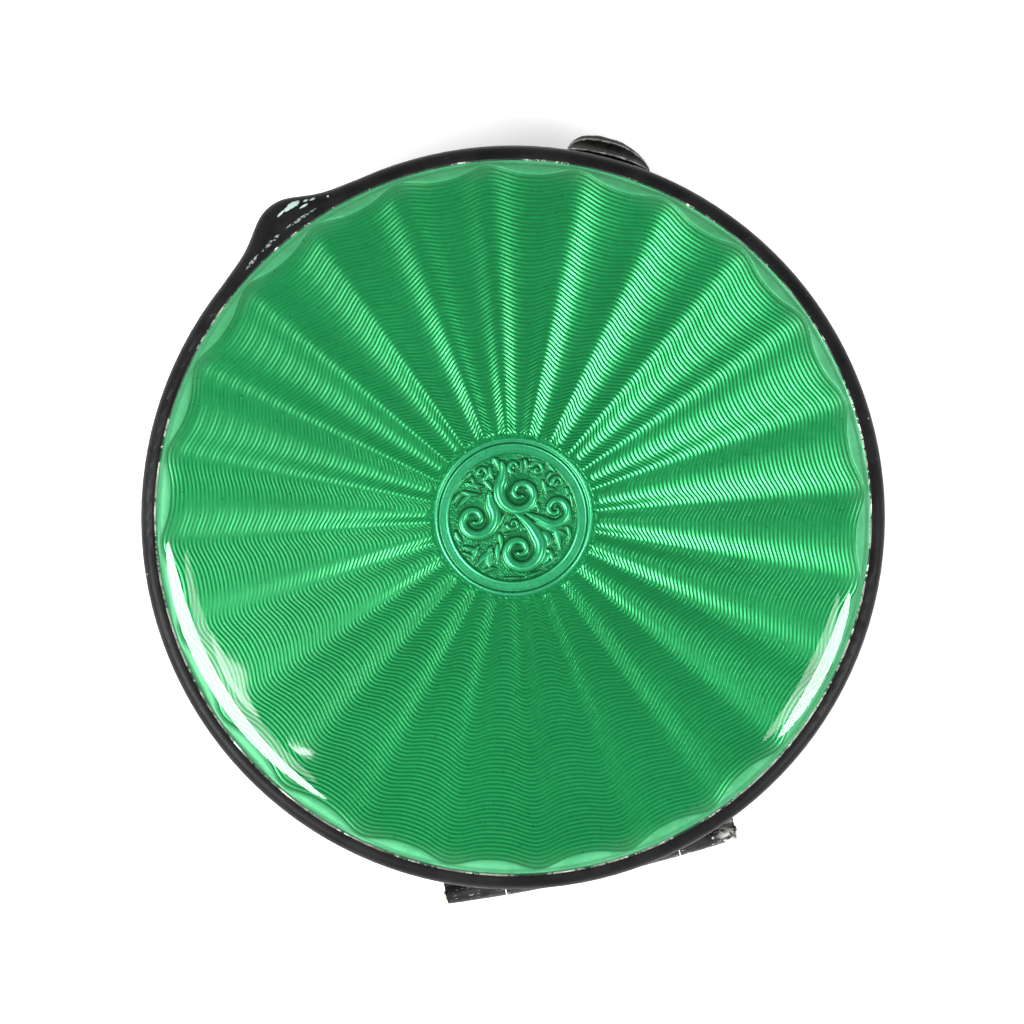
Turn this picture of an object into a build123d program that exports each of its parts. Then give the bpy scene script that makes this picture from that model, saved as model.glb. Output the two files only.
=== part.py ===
from build123d import *
import math
import os

# Round hinged pill box, closed.
# Frame: millimetres, +Z up, origin at the centre of the flat underside,
# on the axis of the round rim. The hinge is at the back (+Y), the thumb
# pieces are at the front (-Y), 26.5 degrees to either side of the middle.

# ---- driving dimensions ----
R_RIM = 25.0            # outside radius of both rims
Z_SEAM = 7.0            # lid and base meet here, hinge axis height
SEAM_GAP = 0.02         # lid edge clear of base edge
Z_RIM_TOP = 11.4        # top of the lid rim
RIM_ROUND = 0.75        # rounded outer top edge of the lid rim
Z_APEX = 13.0           # top of the enamel dome
R_IN = 23.7             # inside radius of both outer walls
R_RECESS = 24.1         # seat of the engine-turned plate in the lid rim
R_ENAMEL = 23.98        # edge of the enamel
R_LEDGE = 23.0          # inner edge of the ledge that carries the plate
Z_LEDGE = 10.5
LEDGE_T = 0.6
ENAMEL_T = 0.40         # enamel at the middle
PLATE_DROP = 1.40       # the plate is a plain dome, this much lower at its edge
PLATE_T = 0.40

DOME_R = 21.5           # shallow dome out to here
DOME_DROP = 0.70        # height lost over the shallow dome
EDGE_ROLL = 4.3         # radius of the rolled-down border

FLOOR_T = 0.7           # base shell floor
R_FOOT = 19.2           # flat rest face
LINER_T = 0.30
COLLAR_OUT = 23.2
COLLAR_IN = 22.85
COLLAR_RISE = 1.2       # collar stands this far above the seam

Y_HINGE = 23.92         # hinge axis from the centre, parallel to X
BARREL_HALF = 10.0
BARREL_MID_R = 1.00
BARREL_END_R = 0.56
BARREL_GAP = 0.07       # running clearance round the barrel
KNUCKLE_GAP = 0.06      # between neighbouring knuckles
PIN_R = 0.25
PIN_HEAD_R = 0.34
PIN_HEAD_T = 0.13
LID_BORE_R = 0.29
NOTCH_DEG = 48.0        # back edges are bevelled this much each side

TAB_DEG = -64.7         # plain tab of the lid
TAB_OUT = 1.54
GRIP_DEG = -117.7       # ribbed thumb grip of the base
GRIP_HALF = 2.95
GRIP_OUT = 1.55
GRIP_Z = 5.25

os.makedirs("parts", exist_ok=True)


def polar(r, deg):
    a = math.radians(deg)
    return (r * math.cos(a), r * math.sin(a))


def spin(*edges):
    """Revolve a closed (radius, height) outline about the box's axis."""
    return revolve(Plane.XZ * make_face(Wire(list(edges))), Axis.Z, 360)


# ---- heights of the domed lid ----
DOME_RAD = (DOME_R ** 2 + DOME_DROP ** 2) / (2 * DOME_DROP)
PHI0 = math.asin(DOME_R / DOME_RAD)
ROLL_CX = DOME_R - EDGE_ROLL * math.sin(PHI0)
ROLL_CZ = (Z_APEX - DOME_DROP) - EDGE_ROLL * math.cos(PHI0)


def top_z(r):
    if r <= DOME_R:
        return Z_APEX - DOME_RAD + math.sqrt(DOME_RAD ** 2 - r * r)
    return ROLL_CZ + math.sqrt(EDGE_ROLL ** 2 - (r - ROLL_CX) ** 2)


PLATE_RAD = (R_ENAMEL ** 2 + PLATE_DROP ** 2) / (2 * PLATE_DROP)


def plate_z(r):
    return Z_APEX - ENAMEL_T - PLATE_RAD + math.sqrt(PLATE_RAD ** 2 - r * r)


def dome_edges(r_end, dz):
    """Top curve of the enamel from the axis out to r_end, lowered by dz."""
    a = (0, top_z(0) - dz)
    b = (DOME_R / 2, top_z(DOME_R / 2) - dz)
    c = (DOME_R, top_z(DOME_R) - dz)
    rm = (DOME_R + r_end) / 2
    d = (rm, top_z(rm) - dz)
    e = (r_end, top_z(r_end) - dz)
    return [Edge.make_three_point_arc(a, b, c), Edge.make_three_point_arc(c, d, e)], e


def line(p, q):
    return Edge.make_line(p, q)


# ---- hinge bodies ----
def barrel(extra=0.0, half=BARREL_HALF):
    """Cigar-shaped barrel along X, widest in the middle."""
    re, rm = BARREL_END_R + extra, BARREL_MID_R + extra
    f = make_face(Wire([
        line((-half, 0), (-half, re)),
        Edge.make_three_point_arc((-half, re), (0, rm), (half, re)),
        line((half, re), (half, 0)),
        line((half, 0), (-half, 0)),
    ]))
    return Pos(0, Y_HINGE, Z_SEAM) * revolve(f, Axis.X, 360)


def slab(x0, x1, pts):
    """Prism along X from x0 to x1; pts are (u outward, v up) from the axis."""
    pl = Plane(origin=(x0, Y_HINGE, Z_SEAM), x_dir=(0, 1, 0), z_dir=(1, 0, 0))
    ws = [line(pts[i], pts[(i + 1) % len(pts)]) for i in range(len(pts))]
    return extrude(pl * make_face(Wire(ws)), x1 - x0)


def rod(r, x0, x1):
    return Pos((x0 + x1) / 2, Y_HINGE, Z_SEAM) * Rot(0, 90, 0) * Cylinder(r, x1 - x0)


TN = math.tan(math.radians(NOTCH_DEG))
WELL = barrel(BARREL_GAP, BARREL_HALF + 0.12)
notch_lid = slab(-10.3, 10.3, [(0, -0.5), (3, -0.5), (3, 3 * TN), (0, 0)])
notch_base = slab(-10.3, 10.3, [(0, 0.5), (0, 0), (3, -3 * TN), (3, 0.5)])
cs, sn = math.cos(math.radians(50)), math.sin(math.radians(50))
seat_up = [(0, 0.03), (3 * cs, 3 * sn), (-3, 3), (-3, 0.03)]
seat_dn = [(0, -0.03), (-3, -0.03), (-3, -3), (3 * cs, -3 * sn)]

# ---- lid: outer frame with its plain tab ----
shape_pts = [(14, 0.0), (12, 0.05), (10, 0.13), (8, 0.28), (6, 0.57), (4, 1.0), (2, 1.40),
             (0, TAB_OUT), (-2, 1.40), (-4, 1.0), (-6, 0.57), (-8, 0.28), (-10, 0.13),
             (-12, 0.05), (-14, 0.0)]
tab_pts = [polar(R_RIM + h, TAB_DEG + d) for d, h in shape_pts]


def circ_tan(deg):
    """Direction of travel with falling angle."""
    a = math.radians(deg)
    return (math.sin(a), -math.cos(a))


tab_edge = Edge.make_spline([Vector(*p) for p in tab_pts],
                            tangents=[Vector(*circ_tan(TAB_DEG + 14)), Vector(*circ_tan(TAB_DEG - 14))])
rim_arc = Edge.make_three_point_arc(tab_pts[-1], polar(R_RIM, TAB_DEG + 180), tab_pts[0])
lid_outline = make_face(Wire([tab_edge, rim_arc]))
lid_frame = extrude(Pos(0, 0, Z_SEAM) * lid_outline, Z_RIM_TOP - Z_SEAM)
lid_frame = fillet(lid_frame.edges().filter_by_position(Axis.Z, Z_RIM_TOP - 0.01, Z_RIM_TOP + 0.01), RIM_ROUND)
lid_frame = chamfer(lid_frame.edges().filter_by_position(Axis.Z, Z_SEAM - 0.01, Z_SEAM + 0.01), 0.12)
lid_bore = spin(
    line((0, Z_SEAM - 1), (R_IN, Z_SEAM - 1)),
    line((R_IN, Z_SEAM - 1), (R_IN, Z_LEDGE - LEDGE_T)),
    line((R_IN, Z_LEDGE - LEDGE_T), (R_LEDGE, Z_LEDGE - LEDGE_T)),
    line((R_LEDGE, Z_LEDGE - LEDGE_T), (R_LEDGE, Z_LEDGE)),
    line((R_LEDGE, Z_LEDGE), (R_RECESS, Z_LEDGE)),
    line((R_RECESS, Z_LEDGE), (R_RECESS, Z_RIM_TOP + 1)),
    line((R_RECESS, Z_RIM_TOP + 1), (0, Z_RIM_TOP + 1)),
    line((0, Z_RIM_TOP + 1), (0, Z_SEAM - 1)),
)
lid_frame = lid_frame - lid_bore - notch_lid - WELL

# ---- lid: engine-turned plate with its raised lip ----
under_r = 22.5
lip_z = top_z(R_ENAMEL) + 0.06


def plate_pt(r, dz=0.0):
    return (r, plate_z(r) - dz)


guilloche_plate = spin(
    Edge.make_three_point_arc(plate_pt(0), plate_pt(12), plate_pt(R_ENAMEL)),
    line(plate_pt(R_ENAMEL), (R_ENAMEL, lip_z)),
    line((R_ENAMEL, lip_z), (R_RECESS, lip_z)),
    line((R_RECESS, lip_z), (R_RECESS, Z_LEDGE)),
    line((R_RECESS, Z_LEDGE), (R_LEDGE, Z_LEDGE)),
    line((R_LEDGE, Z_LEDGE), plate_pt(under_r, PLATE_T)),
    Edge.make_three_point_arc(plate_pt(under_r, PLATE_T), plate_pt(11, PLATE_T), plate_pt(0, PLATE_T)),
    line(plate_pt(0, PLATE_T), plate_pt(0)),
)

# ---- lid: clear green enamel over the plate, thinning to its rolled edge ----
up, u_end = dome_edges(R_ENAMEL, 0.0)
lid_enamel = spin(
    Edge.make_three_point_arc(plate_pt(0), plate_pt(12), plate_pt(R_ENAMEL)),
    line(plate_pt(R_ENAMEL), u_end),
    *up,
    line((0, Z_APEX), plate_pt(0)),
)

# ---- lid: gilt inner cap ----
zl = Z_LEDGE - LEDGE_T


def cap_arc(r_edge, z_mid, z_edge):
    """Spherical cap curve from the axis out to r_edge."""
    drop = z_mid - z_edge
    rad = (r_edge ** 2 + drop ** 2) / (2 * drop)
    h = r_edge / 2
    return (0, z_mid), (h, z_mid - rad + math.sqrt(rad ** 2 - h * h)), (r_edge, z_edge)


oa, ob, oc = cap_arc(21.8, zl + 1.85, zl + 1.0)
ia, ib, ic = cap_arc(21.68, zl + 1.60, zl + 0.76)
lid_liner = spin(
    Edge.make_three_point_arc(oa, ob, oc),
    line(oc, (22.9, zl)),
    line((22.9, zl), (R_IN, zl)),
    line((R_IN, zl), (R_IN, Z_SEAM + 0.05)),
    line((R_IN, Z_SEAM + 0.05), (R_IN - 0.25, Z_SEAM + 0.05)),
    line((R_IN - 0.25, Z_SEAM + 0.05), (R_IN - 0.25, zl - 0.25)),
    line((R_IN - 0.25, zl - 0.25), (22.78, zl - 0.25)),
    line((22.78, zl - 0.25), ic),
    Edge.make_three_point_arc(ic, ib, ia),
    line(ia, oa),
)
relief = slab(-8.5, 8.5, [(-1.4, -1.5), (1.6, -1.5), (1.6, 1.5), (-1.4, 1.5)])
lid_liner = lid_liner - relief

# ---- base: outer shell ----
zb = Z_SEAM - SEAM_GAP
inner_curve = Edge.make_spline([Vector(R_IN, 4.9), Vector(18.8, FLOOR_T)],
                               tangents=[Vector(0, -1), Vector(-1, 0)])
base_shell = spin(
    line((0, 0), (R_FOOT, 0)),
    Edge.make_spline([Vector(R_FOOT, 0), Vector(R_RIM, 5.2)], tangents=[Vector(1, 0.10), Vector(0, 1)]),
    line((R_RIM, 5.2), (R_RIM, zb - 0.12)),
    line((R_RIM, zb - 0.12), (R_RIM - 0.12, zb)),
    line((R_RIM - 0.12, zb), (R_IN, zb)),
    line((R_IN, zb), (R_IN, 4.9)),
    inner_curve,
    line((18.8, FLOOR_T), (0, FLOOR_T)),
    line((0, FLOOR_T), (0, 0)),
)
base_shell = base_shell - notch_base - WELL

# ---- base: gilt lining ----
base_liner = spin(
    line((0, FLOOR_T), (18.8, FLOOR_T)),
    Edge.make_spline([Vector(18.8, FLOOR_T), Vector(R_IN, 4.9)], tangents=[Vector(1, 0), Vector(0, 1)]),
    line((R_IN, 4.9), (R_IN, Z_SEAM - 0.1)),
    line((R_IN, Z_SEAM - 0.1), (R_IN - LINER_T, Z_SEAM - 0.1)),
    line((R_IN - LINER_T, Z_SEAM - 0.1), (R_IN - LINER_T, 4.9)),
    Edge.make_spline([Vector(R_IN - LINER_T, 4.9), Vector(18.75, FLOOR_T + LINER_T)],
                     tangents=[Vector(0, -1), Vector(-1, 0)]),
    line((18.75, FLOOR_T + LINER_T), (0, FLOOR_T + LINER_T)),
    line((0, FLOOR_T + LINER_T), (0, FLOOR_T)),
)
base_liner = base_liner - relief

# ---- base: gilt collar that the lid closes over, open at the hinge ----
zc = Z_SEAM + COLLAR_RISE
base_collar = spin(
    line((COLLAR_IN, 5.0), (R_IN - LINER_T, 5.0)),
    line((R_IN - LINER_T, 5.0), (R_IN - LINER_T, Z_SEAM - 0.1)),
    line((R_IN - LINER_T, Z_SEAM - 0.1), (COLLAR_OUT, Z_SEAM - 0.1)),
    line((COLLAR_OUT, Z_SEAM - 0.1), (COLLAR_OUT, zc - 0.12)),
    line((COLLAR_OUT, zc - 0.12), (COLLAR_OUT - 0.10, zc)),
    line((COLLAR_OUT - 0.10, zc), (COLLAR_IN + 0.10, zc)),
    line((COLLAR_IN + 0.10, zc), (COLLAR_IN, zc - 0.12)),
    line((COLLAR_IN, zc - 0.12), (COLLAR_IN, 5.0)),
)
base_collar = base_collar - Pos(0, 22.0, Z_SEAM) * Box(16.0, 8.0, 6.0)

# ---- hinge knuckles: three on the base, two on the lid ----
g = KNUCKLE_GAP / 2
cuts = {
    "base_knuckle_left": (-BARREL_HALF, -6.0 - g, False),
    "lid_knuckle_left": (-6.0 + g, -2.0 - g, True),
    "base_knuckle_middle": (-2.0 + g, 2.0 - g, False),
    "lid_knuckle_right": (2.0 + g, 6.0 - g, True),
    "base_knuckle_right": (6.0 + g, BARREL_HALF, False),
}
full = [(-4, -4), (4, -4), (4, 4), (-4, 4)]
knuckles = {}
for name, (x0, x1, is_lid) in cuts.items():
    body = barrel() & slab(x0, x1, full)
    seat = WELL & slab(x0, x1, seat_up if is_lid else seat_dn)
    # the seat only fills the gap where the wall really is behind it
    wall = Pos(0, 0, Z_SEAM - 3) * Cylinder(R_RIM, 6, align=(Align.CENTER, Align.CENTER, Align.MIN))
    body = body + (seat & wall)
    if not is_lid and abs(x0 + x1) > 1:
        web = slab(x0, x1, [(0, -0.03), (-1.9, -0.03), (-1.9, -1.5), (0, -0.47)])
        body = body + (web - Cylinder(R_RIM, 40) - base_shell)
    body = body - rod(LID_BORE_R if is_lid else PIN_R, -11, 11)
    if is_lid:
        body = body - lid_frame - lid_liner
    else:
        body = body - base_shell - base_liner - base_collar
    knuckles[name] = body

hinge_pin = (rod(PIN_R, -BARREL_HALF, BARREL_HALF)
             + rod(PIN_HEAD_R, -BARREL_HALF - PIN_HEAD_T, -BARREL_HALF)
             + rod(PIN_HEAD_R, BARREL_HALF, BARREL_HALF + PIN_HEAD_T))
hinge_pin = fillet(hinge_pin.edges().filter_by_position(Axis.X, BARREL_HALF + PIN_HEAD_T - 0.01, BARREL_HALF + PIN_HEAD_T + 0.01), 0.08)
hinge_pin = fillet(hinge_pin.edges().filter_by_position(Axis.X, -BARREL_HALF - PIN_HEAD_T - 0.01, -BARREL_HALF - PIN_HEAD_T + 0.01), 0.08)

# ---- base: ribbed thumb grip, a gadrooned half melon ----
# local frame: X tangential, Y outward, Z up
k = GRIP_HALF / GRIP_OUT
melon = scale(Sphere(GRIP_OUT), by=(k, 1, 1))
# grooves run from tip to tip, deepest in the middle and fading out at both tips
groove = extrude(Ellipse(GRIP_HALF + 0.6, GRIP_OUT + 0.4) - Ellipse(GRIP_HALF + 0.05, GRIP_OUT - 0.22), 0.09, both=True)
for psi in (-75, -45, -15, 15, 45, 75):
    melon = melon - Rot(psi, 0, 0) * groove
melon = melon & (Pos(-0.2, 0, 0) * Box(2 * GRIP_HALF - 0.1, 8, 8))
gx, gy = polar(R_RIM - 0.05, GRIP_DEG)
melon = Pos(gx, gy, GRIP_Z) * Rot(0, 0, GRIP_DEG - 90) * melon
hold = Pos(0, 0, 0) * Cylinder(R_IN + 0.8, 20, align=(Align.CENTER, Align.CENTER, Align.MIN))
melon = melon - base_shell - hold
base_thumb_grip = max(melon.solids(), key=lambda s: s.volume)

nodes = {
    "lid_frame": lid_frame,
    "guilloche_plate": guilloche_plate,
    "lid_enamel": lid_enamel,
    "lid_liner": lid_liner,
    "base_shell": base_shell,
    "base_liner": base_liner,
    "base_collar": base_collar,
    "hinge_pin": hinge_pin,
    "base_thumb_grip": base_thumb_grip,
}
nodes.update(knuckles)
for name, shape in nodes.items():
    solids = sorted(shape.solids(), key=lambda s: s.volume)
    print(name, len(solids), [round(s.volume, 3) for s in solids], solids[-1].is_valid)
    export_step(solids[-1], f"parts/{name}.step")
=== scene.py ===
import bpy
import math
import random
import numpy as np
from mathutils import Matrix, Vector


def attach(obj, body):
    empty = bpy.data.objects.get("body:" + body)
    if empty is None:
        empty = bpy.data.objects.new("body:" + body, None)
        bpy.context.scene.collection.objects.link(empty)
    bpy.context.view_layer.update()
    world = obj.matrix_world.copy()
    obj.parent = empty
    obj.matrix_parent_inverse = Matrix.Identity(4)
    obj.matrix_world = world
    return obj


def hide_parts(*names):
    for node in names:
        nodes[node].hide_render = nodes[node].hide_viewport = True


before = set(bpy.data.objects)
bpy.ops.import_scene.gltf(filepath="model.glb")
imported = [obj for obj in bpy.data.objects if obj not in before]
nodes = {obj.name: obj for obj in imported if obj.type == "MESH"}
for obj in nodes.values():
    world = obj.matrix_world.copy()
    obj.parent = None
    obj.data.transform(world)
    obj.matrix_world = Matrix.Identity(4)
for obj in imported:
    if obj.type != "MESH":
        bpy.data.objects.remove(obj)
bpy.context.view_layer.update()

MM = 0.001
scene = bpy.context.scene

# ------------------------------------------------------------------ sizes (mm)
Z_APEX, DOME_R, DOME_DROP, ROLL = 13.0, 21.5, 0.70, 4.3
DOME_RAD = (DOME_R ** 2 + DOME_DROP ** 2) / (2 * DOME_DROP)
PHI0 = math.asin(DOME_R / DOME_RAD)
ROLL_CX = DOME_R - ROLL * math.sin(PHI0)
ROLL_CZ = (Z_APEX - DOME_DROP) - ROLL * math.cos(PHI0)
ENAMEL_T, R_EN, R_REC = 0.40, 23.98, 24.1
PLATE_DROP = 1.40
PLATE_RAD = (R_EN ** 2 + PLATE_DROP ** 2) / (2 * PLATE_DROP)
VIEW_TURN = math.radians(167.3)     # camera's right-hand direction, from +X
PX = 25.0 / 372.0                   # mm to a pixel in the 1024 frame

# ------------------------------------------------------------------ light and finish levels
GRIP_SIGN = 1
PL_METAL, PL_COAT = 0.60, 0.40
WORLD_LOW, WORLD_TOP = 0.96, 0.07
# name, (image angle, tilt) of both ends, width seen from the box, radiance, shape
LIGHTS = (
    ("box_left", ((185, 65), (239, 41)), 0.42, 19, "ELLIPSE"),
    ("box_left_inner", ((192, 34), (234, 26)), 0.42, 4.6, "ELLIPSE"),
    ("box_left_tip", ((209.5, 10.25), (210, 27)), 0.085, 9, "ELLIPSE"),
    ("box_right", ((347, 59), (320, 55)), 0.40, 17, "ELLIPSE"),
    ("box_right_inner", ((345, 41), (318, 37)), 0.36, 5.6, "ELLIPSE"),
    ("box_small", ((225.2, 10.85), (229.8, 10.38)), 0.0045, 24, "ELLIPSE"),
)


def top_z(r):
    r = np.asarray(r, float)
    dome = Z_APEX - DOME_RAD + np.sqrt(DOME_RAD ** 2 - np.minimum(r, DOME_R) ** 2)
    roll = ROLL_CZ + np.sqrt(np.maximum(ROLL ** 2 - (np.maximum(r, DOME_R) - ROLL_CX) ** 2, 0))
    return np.where(r <= DOME_R, dome, roll)


def plate_z(r):
    r = np.asarray(r, float)
    return Z_APEX - ENAMEL_T - PLATE_RAD + np.sqrt(PLATE_RAD ** 2 - r * r)


def at_px(x, y):
    """Row-frame x, y (mm) of a place in the 1024 frame, seen from straight above."""
    dx, dy = (x - 513.0) * PX, -(y - 517.4) * PX
    c, s = math.cos(VIEW_TURN), math.sin(VIEW_TURN)
    return (dx * c - dy * s, dx * s + dy * c)


def smooth(e0, e1, x):
    t = np.clip((np.asarray(x, float) - e0) / (e1 - e0), 0, 1)
    return t * t * (3 - 2 * t)


# ------------------------------------------------------------------ mesh helpers
def make_mesh(name, verts, faces, smooth_faces=True):
    me = bpy.data.meshes.new(name)
    me.from_pydata([tuple(v) for v in np.asarray(verts) * MM], [], [tuple(int(i) for i in f) for f in faces])
    me.validate()
    me.update()
    me.polygons.foreach_set("use_smooth", [smooth_faces] * len(me.polygons))
    ob = bpy.data.objects.new(name, me)
    scene.collection.objects.link(ob)
    return ob


def ring_faces(rows, n, flip=False):
    """Quads between consecutive closed rings of n vertices each."""
    j = np.arange(n)
    k = (j + 1) % n
    out = []
    for i in range(rows - 1):
        a, b = i * n, (i + 1) * n
        q = np.stack([a + j, b + j, b + k, a + k], 1)
        if flip:
            q = q[:, ::-1]
        out.append(q)
    return np.concatenate(out)


def set_sharp(ob, test):
    me = ob.data
    ev = np.zeros(len(me.edges) * 2, np.int64)
    me.edges.foreach_get("vertices", ev)
    ev = ev.reshape(-1, 2)
    flags = test(ev[:, 0], ev[:, 1])
    att = me.attributes.get("sharp_edge") or me.attributes.new("sharp_edge", "BOOLEAN", "EDGE")
    att.data.foreach_set("value", flags.astype(bool))
    me.update()


# ------------------------------------------------------------------ node helpers
class Mat:
    def __init__(self, name, rough=0.5, metal=0.0, color=(0.5, 0.5, 0.5), coat=0.0, ior=1.5):
        self.m = bpy.data.materials.new(name)
        self.m.use_nodes = True
        self.t = self.m.node_tree
        self.n = self.t.nodes
        self.bsdf = self.n["Principled BSDF"]
        b = self.bsdf.inputs
        b["Base Color"].default_value = (*color, 1)
        b["Roughness"].default_value = rough
        b["Metallic"].default_value = metal
        b["Coat Weight"].default_value = coat
        b["IOR"].default_value = ior
        self.coord = self.n.new("ShaderNodeTexCoord").outputs["Object"]

    def link(self, a, b):
        self.t.links.new(a, b)

    def noise(self, scale, detail=4.0, rough=0.55, vec=None, distort=0.0):
        x = self.n.new("ShaderNodeTexNoise")
        x.inputs["Scale"].default_value = scale
        x.inputs["Detail"].default_value = detail
        x.inputs["Roughness"].default_value = rough
        x.inputs["Distortion"].default_value = distort
        self.link(vec or self.coord, x.inputs["Vector"])
        return x.outputs["Fac"]

    def voronoi(self, scale, feature="F1", vec=None):
        x = self.n.new("ShaderNodeTexVoronoi")
        x.feature = feature
        x.inputs["Scale"].default_value = scale
        self.link(vec or self.coord, x.inputs["Vector"])
        return x.outputs["Distance"]

    def math(self, op, a, b=0.5, clamp=False):
        x = self.n.new("ShaderNodeMath")
        x.operation = op
        x.use_clamp = clamp
        for s, v in zip(x.inputs, (a, b)):
            if isinstance(v, (int, float)):
                s.default_value = v
            else:
                self.link(v, s)
        return x.outputs[0]

    def step(self, v, lo, hi, a=0.0, b=1.0, kind="SMOOTHSTEP"):
        x = self.n.new("ShaderNodeMapRange")
        x.interpolation_type = kind
        for k, val in (("From Min", lo), ("From Max", hi), ("To Min", a), ("To Max", b)):
            x.inputs[k].default_value = val
        self.link(v, x.inputs["Value"])
        return x.outputs["Result"]

    def mix(self, fac, a, b):
        x = self.n.new("ShaderNodeMix")
        x.data_type = "RGBA"
        if isinstance(fac, (int, float)):
            x.inputs[0].default_value = fac
        else:
            self.link(fac, x.inputs[0])
        for s, v in ((x.inputs[6], a), (x.inputs[7], b)):
            if isinstance(v, tuple):
                s.default_value = (*v, 1)
            else:
                self.link(v, s)
        return x.outputs[2]

    def scaled(self, sx, sy, sz, rot=(0, 0, 0)):
        x = self.n.new("ShaderNodeMapping")
        x.inputs["Scale"].default_value = (sx, sy, sz)
        x.inputs["Rotation"].default_value = rot
        self.link(self.coord, x.inputs["Vector"])
        return x.outputs["Vector"]

    def blob(self, cx, cy, cz, rx, ry, rz, turn, wobble, soft=0.25):
        """1 inside a ragged ellipsoid (mm), 0 outside."""
        sub = self.n.new("ShaderNodeVectorMath")
        sub.operation = "SUBTRACT"
        self.link(self.coord, sub.inputs[0])
        sub.inputs[1].default_value = (cx * MM, cy * MM, cz * MM)
        rot = self.n.new("ShaderNodeVectorRotate")
        rot.rotation_type = "Z_AXIS"
        rot.inputs["Angle"].default_value = -turn
        self.link(sub.outputs[0], rot.inputs["Vector"])
        mul = self.n.new("ShaderNodeVectorMath")
        mul.operation = "MULTIPLY"
        self.link(rot.outputs[0], mul.inputs[0])
        mul.inputs[1].default_value = (1 / (rx * MM), 1 / (ry * MM), 1 / (rz * MM))
        ln = self.n.new("ShaderNodeVectorMath")
        ln.operation = "LENGTH"
        self.link(mul.outputs[0], ln.inputs[0])
        d = self.math("ADD", ln.outputs["Value"], wobble)
        return self.step(d, 1 + soft, 1 - soft)

    def any(self, parts):
        out = parts[0]
        for p in parts[1:]:
            out = self.math("MAXIMUM", out, p)
        return out

    def axis(self, name):
        x = self.n.new("ShaderNodeSeparateXYZ")
        self.link(self.coord, x.inputs[0])
        return x.outputs[name]

    def radius(self):
        x = self.n.new("ShaderNodeVectorMath")
        x.operation = "MULTIPLY"
        self.link(self.coord, x.inputs[0])
        x.inputs[1].default_value = (1000, 1000, 0)
        y = self.n.new("ShaderNodeVectorMath")
        y.operation = "LENGTH"
        self.link(x.outputs[0], y.inputs[0])
        return y.outputs["Value"]

    def color(self, v):
        self.link(v, self.bsdf.inputs["Base Color"])

    def rough(self, v):
        self.link(v, self.bsdf.inputs["Roughness"])

    def metal(self, v):
        self.link(v, self.bsdf.inputs["Metallic"])

    def bump(self, h, dist_mm, strength=1.0):
        x = self.n.new("ShaderNodeBump")
        x.inputs["Strength"].default_value = strength
        x.inputs["Distance"].default_value = dist_mm * MM
        self.link(h, x.inputs["Height"])
        self.link(x.outputs[0], self.bsdf.inputs["Normal"])


def dress(node, mat):
    ob = nodes[node]
    if not ob.material_slots:
        ob.data.materials.append(mat)
    for s in ob.material_slots:
        s.material = mat


# ------------------------------------------------------------------ materials
# black rim: dark, slightly glossy, specks and chips
def rim_material(name, chips):
    m = Mat(name, rough=0.42, color=(0.012, 0.0115, 0.011))
    m.bsdf.inputs["Specular IOR Level"].default_value = 0.12
    wob = m.math("MULTIPLY", m.math("SUBTRACT", m.noise(2600, 5, 0.65), 0.5), 1.5)
    n_big = m.noise(420, 3)
    n_fine = m.noise(5200, 3, 0.6)
    speck = m.step(m.voronoi(900), 0.075, 0.04)
    keep = m.step(m.noise(330, 2), 0.60, 0.66)
    speck = m.math("MULTIPLY", speck, keep)
    scr = m.noise(900, 3, 0.6, vec=m.scaled(1.0, 9.0, 1.0, (0, 0, 0.5)))
    scratch = m.math("MULTIPLY", m.step(scr, 0.66, 0.70), m.step(m.noise(500, 2), 0.5, 0.6))
    dark = m.mix(m.step(n_big, 0.35, 0.7), (0.0045, 0.0046, 0.0046), (0.0100, 0.0100, 0.0098))
    base = m.mix(m.math("MULTIPLY", scratch, 0.30), dark, (0.10, 0.095, 0.09))
    base = m.mix(speck, base, (0.30, 0.31, 0.29))
    rough = m.step(n_fine, 0.3, 0.7, 0.34, 0.48, "LINEAR")
    height = m.math("MULTIPLY", n_fine, 0.35)
    if chips:
        parts = [m.blob(*c, wob) for c in CHIPS]
        chip = m.any(parts)
        tint = m.mix(m.noise(3000, 2), (0.30, 0.44, 0.39), (0.42, 0.49, 0.46))
        base = m.mix(chip, base, tint)
        edge = m.any([m.blob(*c, wob) for c in EDGE_WEAR])
        base = m.mix(m.math("MULTIPLY", edge, m.step(m.noise(4200, 3, 0.7), 0.46, 0.56)), base, (0.24, 0.31, 0.27))
        height = m.math("SUBTRACT", height, m.math("MULTIPLY", chip, 0.9))
    m.color(base)
    m.rough(rough)
    m.bump(height, 0.02, 0.6)
    return m.m


ZT = 11.4


def px_blob(x, y, rx, ry, deg, rz=0.5, z=ZT):
    """A ragged patch given by its place in the frame; half lengths in pixels."""
    cx, cy = at_px(x, y)
    return (cx, cy, z, rx * PX, ry * PX, rz, math.radians(deg) + VIEW_TURN)


CHIPS = [
    px_blob(293.0, 205.2, 7.0, 2.6, 29),
    px_blob(288.0, 209.0, 4.2, 2.0, 34),
    px_blob(281.0, 213.8, 4.6, 1.0, 45),
    px_blob(305.5, 201.0, 2.8, 1.1, 22),
    px_blob(312.0, 199.6, 3.4, 0.9, 24),
    px_blob(304.0, 206.2, 4.6, 1.0, 31),
    px_blob(328.0, 196.5, 1.1, 1.0, 0),
    px_blob(636.0, 186.0, 1.6, 1.0, 0),
    px_blob(655.0, 196.0, 1.0, 0.8, 0),
]
EDGE_WEAR = [
    px_blob(271.0, 243.0, 12.0, 1.8, 45, rz=1.2),
    px_blob(252.0, 262.5, 9.0, 1.4, 50, rz=1.2),
    px_blob(300.0, 219.5, 16.0, 1.2, 34, rz=1.2),
]

black_lid = rim_material("black_rim_lid", True)
black_base = rim_material("black_rim_base", False)

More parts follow.
